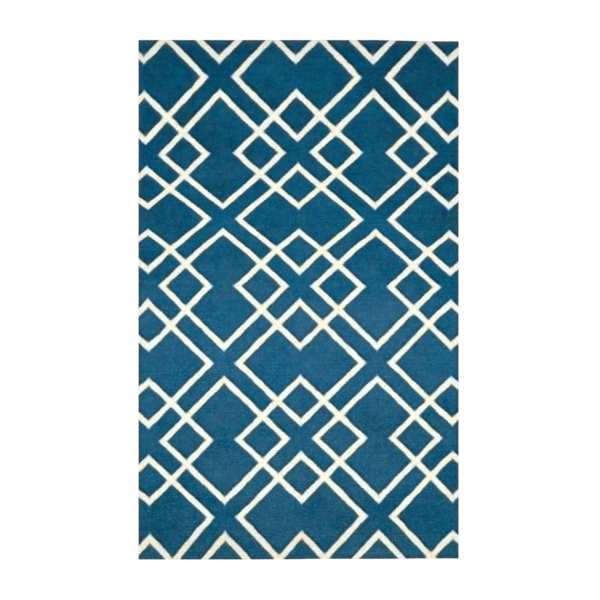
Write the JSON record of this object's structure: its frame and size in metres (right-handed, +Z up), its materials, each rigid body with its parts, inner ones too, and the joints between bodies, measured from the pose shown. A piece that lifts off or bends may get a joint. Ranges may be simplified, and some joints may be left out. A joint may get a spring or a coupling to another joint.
{
  "type": "kilim rug",
  "caption": "Flat-woven rectangular rug with an interlaced diamond trellis in ivory on blue, straight selvedges and fringeless turned ends, lying flat on the floor.",
  "frame": {"origin": "middle of the rug's underside, on the floor it lies on", "axes": "+Z up out of the rug's upper face; +Y along the long selvedges, towards the end at the top of the picture; +X across the rug, to the picture's right"},
  "size_m": [1.512, 2.454, 0.004],
  "materials": {
    "kilim_cloth": "matte"
  },
  "bodies": {
    "root": {"rug": "kilim_cloth"}
  },
  "joints": []
}
